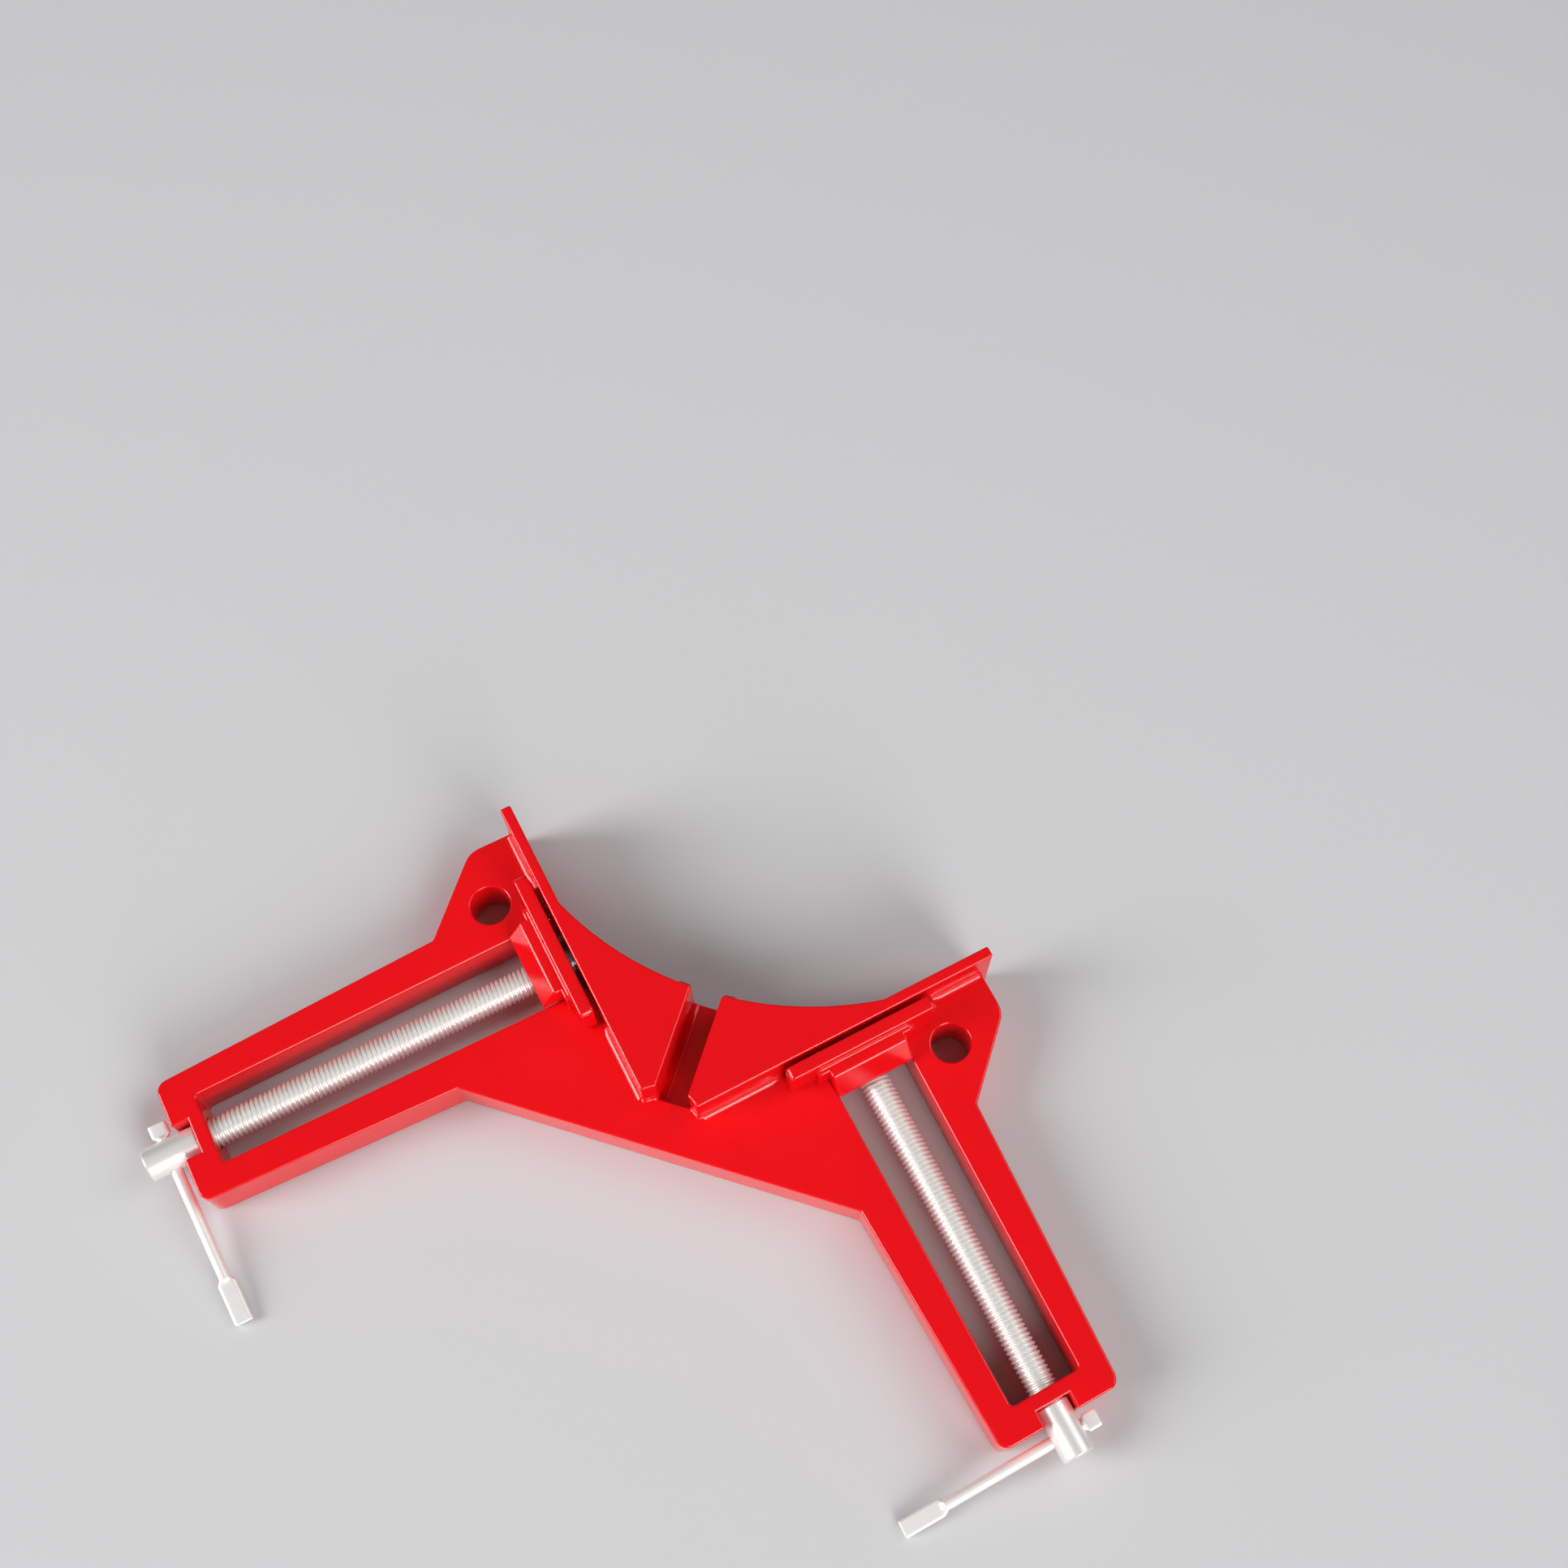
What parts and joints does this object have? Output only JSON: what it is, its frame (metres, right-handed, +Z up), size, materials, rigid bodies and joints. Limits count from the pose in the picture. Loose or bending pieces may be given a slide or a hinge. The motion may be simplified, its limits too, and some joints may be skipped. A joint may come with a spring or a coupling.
{
  "type": "corner clamp",
  "caption": "Cast right-angle corner clamp with slotted arms, captive lead screws with sliding tommy bars, travelling jaws and a saw groove for mitred frames.",
  "frame": {"origin": "the point on the bench below the corner where the two fence faces would meet", "axes": "+Z up from the bench; the left arm runs along -X and the right arm along -Y, both fences run from the origin along +Y and +X"},
  "size_m": [0.2123, 0.2123, 0.026],
  "materials": {
    "red_enamel": "gloss",
    "plated_steel": "satin",
    "zinc_steel": "satin"
  },
  "bodies": {
    "body": {"body": "red_enamel"},
    "left_screw": {"left_lead_screw": "plated_steel", "left_thrust_washer": "zinc_steel", "left_retaining_screw": "zinc_steel"},
    "left_jaw": {"left_jaw": "red_enamel"},
    "left_bar": {"left_tommy_bar": "plated_steel"},
    "right_screw": {"right_lead_screw": "plated_steel", "right_thrust_washer": "zinc_steel", "right_retaining_screw": "zinc_steel"},
    "right_jaw": {"right_jaw": "red_enamel"},
    "right_bar": {"right_tommy_bar": "plated_steel"}
  },
  "joints": [
    {"name": "left_screw_turn", "type": "hinge", "parent": "body", "child": "left_screw", "pos_m": [-0.107, 0.0553, 0.0083], "axis": [1, 0, 0], "range_deg": [-25200, 360]},
    {"name": "left_jaw_slide", "type": "slide", "parent": "body", "child": "left_jaw", "axis": [1, 0, 0], "range_m": [-0.0875, 0.00125]},
    {"name": "left_bar_slide", "type": "slide", "parent": "left_screw", "child": "left_bar", "axis": [0, 0.9877, 0.1564], "range_m": [0, 0.0292]},
    {"name": "right_screw_turn", "type": "hinge", "parent": "body", "child": "right_screw", "pos_m": [0.0553, -0.107, 0.0083], "axis": [0, 1, 0], "range_deg": [-25200, 360]},
    {"name": "right_jaw_slide", "type": "slide", "parent": "body", "child": "right_jaw", "axis": [0, 1, 0], "range_m": [-0.0875, 0.00125]},
    {"name": "right_bar_slide", "type": "slide", "parent": "right_screw", "child": "right_bar", "axis": [0.9877, 0, 0.1564], "range_m": [0, 0.0292]}
  ],
  "couplings": [
    {"joint": "left_jaw_slide", "follows": "left_screw_turn", "m_per_rad": 0.00019894},
    {"joint": "right_jaw_slide", "follows": "right_screw_turn", "m_per_rad": 0.00019894}
  ]
}
